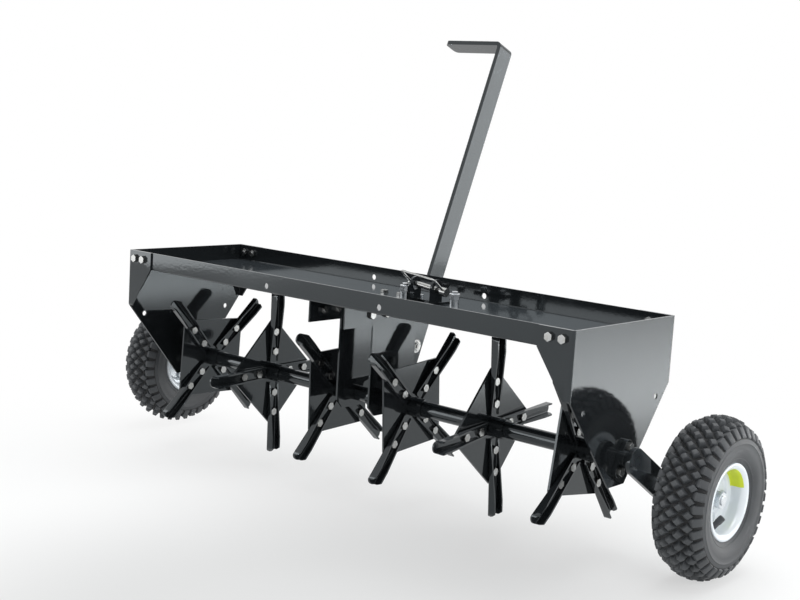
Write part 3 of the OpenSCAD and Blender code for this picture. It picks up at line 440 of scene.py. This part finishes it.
# Air tyres: moulded in one piece, a smooth bulging sidewall under an open tread of
# lozenge blocks with long lugs over the shoulders. The groove floors are painted darker than the blocks,
# as painted shade in the recesses.
# Painted shade: the same rubber is coloured near black on the tread's faces between the blocks, where
# shade falls
groove_painted_shade = bpy.data.materials.new("tread groove rubber, painted shade")
tree = empty_tree(groove_painted_shade)
place = add(tree, "ShaderNodeTexCoord").outputs["Object"]
grain = add(tree, "ShaderNodeTexNoise", {"Vector": place, "Scale": 450, "Detail": 3})
tone = add(tree, "ShaderNodeMix", {
    "Factor": grain.outputs[0], "A": linear("#121314"), "B": linear("#1C1D1F")}, data_type="RGBA")
skin = add(tree, "ShaderNodeBsdfPrincipled", {"Base Color": tone.outputs["Result"], "Roughness": 0.7})
add(tree, "ShaderNodeOutputMaterial", {"Surface": skin.outputs[0]})

blocks_round = 36
groove_foot = 0.1005
tyre_half = [
    (121.2, 0), (120.8, 6), (119.5, 12), (117, 17.5), (114.4, 22.6), (113.6, 28.2), (112, 33), (108, 37.6),
    (103.4, 40), (100.6, 41.2), (97, 41.9), (95.2, 42.05), (94.6, 42.6), (93.8, 42.65), (93.2, 42.15),
    (86, 42), (80, 41), (74.5, 39.2), (70, 37), (69.4, 37.3), (67.4, 36.3), (67.2, 35.4), (64.6, 33.8),
    (62.4, 32.6), (61, 31), (53, 30.4)]
tyre_outline = tyre_half + [(r, -x) for r, x in reversed(tyre_half[1:])]


def tread_block(length, width, height, top, lozenge):
    """A rubber block standing on the origin: tapered towards its top, with its edges rounded."""
    bpy.ops.object.select_all(action="DESELECT")
    bpy.ops.mesh.primitive_cube_add(size=1)
    block = bpy.context.object
    if lozenge:
        block.data.transform(Matrix.Rotation(math.radians(45), 4, "Z"))
        block.data.transform(Matrix.Diagonal((math.sqrt(0.5), math.sqrt(0.5), 1, 1)))
    bpy.ops.object.mode_set(mode="EDIT")
    bpy.ops.mesh.select_all(action="SELECT")
    bpy.ops.transform.resize(value=(length / 1000, width / 1000, height / 1000))
    bpy.ops.mesh.select_all(action="DESELECT")
    bpy.ops.object.mode_set(mode="OBJECT")
    for face in block.data.polygons:
        face.select = face.normal.z > 0.9
    bpy.ops.object.mode_set(mode="EDIT")
    bpy.ops.transform.resize(value=(top, top, 1))
    bpy.ops.mesh.select_all(action="SELECT")
    bpy.ops.mesh.bevel(offset=0.0009, segments=2, affect="EDGES")
    bpy.ops.object.mode_set(mode="OBJECT")
    block.data.transform(Matrix.Translation((0, 0, height / 2000)))
    return block


# Each row: distance from the middle and foot radius in millimetres, lean outwards in degrees,
# block (length, width, height, share left at its top, lozenge or not), start angle in pitches
tread_rows = [
    (0, 119.3, 0, (22, 18, 10.6, 0.56, True), 0),
    (10.7, 117.7, 13, (21, 18, 10.9, 0.56, True), 0.5),
    (21.3, 111.8, 33, (22, 17.6, 10.6, 0.62, True), 0),
    (30.2, 105.8, 60, (20, 14.6, 9.9, 0.84, False), 0.5),
]
for side in ("left", "right"):
    tyre = spun(f"tyre_{side}_moulding", tyre_outline)
    tyre.data.materials.append(rubber)
    tyre.data.materials.append(groove_painted_shade)
    for face in tyre.data.polygons:
        face.material_index = 1 if face.center.yz.length > groove_foot else 0
    parts = [tyre]
    for out, foot, lean, shape, start in tread_rows:
        pattern = tread_block(*shape)
        pattern.data.materials.append(rubber)
        for sign in ((1, -1) if out else (1,)):
            on_foot = Matrix.Translation((sign * out / 1000, 0, foot / 1000))
            outwards = Matrix.Rotation(math.radians(sign * lean), 4, "Y")
            for k in range(blocks_round):
                block = pattern.copy()
                block.data = pattern.data.copy()
                scene.collection.objects.link(block)
                angle = (k + start) * 2 * math.pi / blocks_round
                block.data.transform(Matrix.Rotation(angle, 4, "X") @ on_foot @ outwards)
                parts.append(block)
        bpy.data.objects.remove(pattern)
    bpy.ops.object.select_all(action="DESELECT")
    for part in parts:
        part.select_set(True)
    bpy.context.view_layer.objects.active = tyre
    bpy.ops.object.join()
    on_wheel(tyre, side)
    bpy.ops.object.shade_smooth_by_angle(angle=smooth_below)
    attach(tyre, "wheel_" + side)
    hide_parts("tyre_" + side)
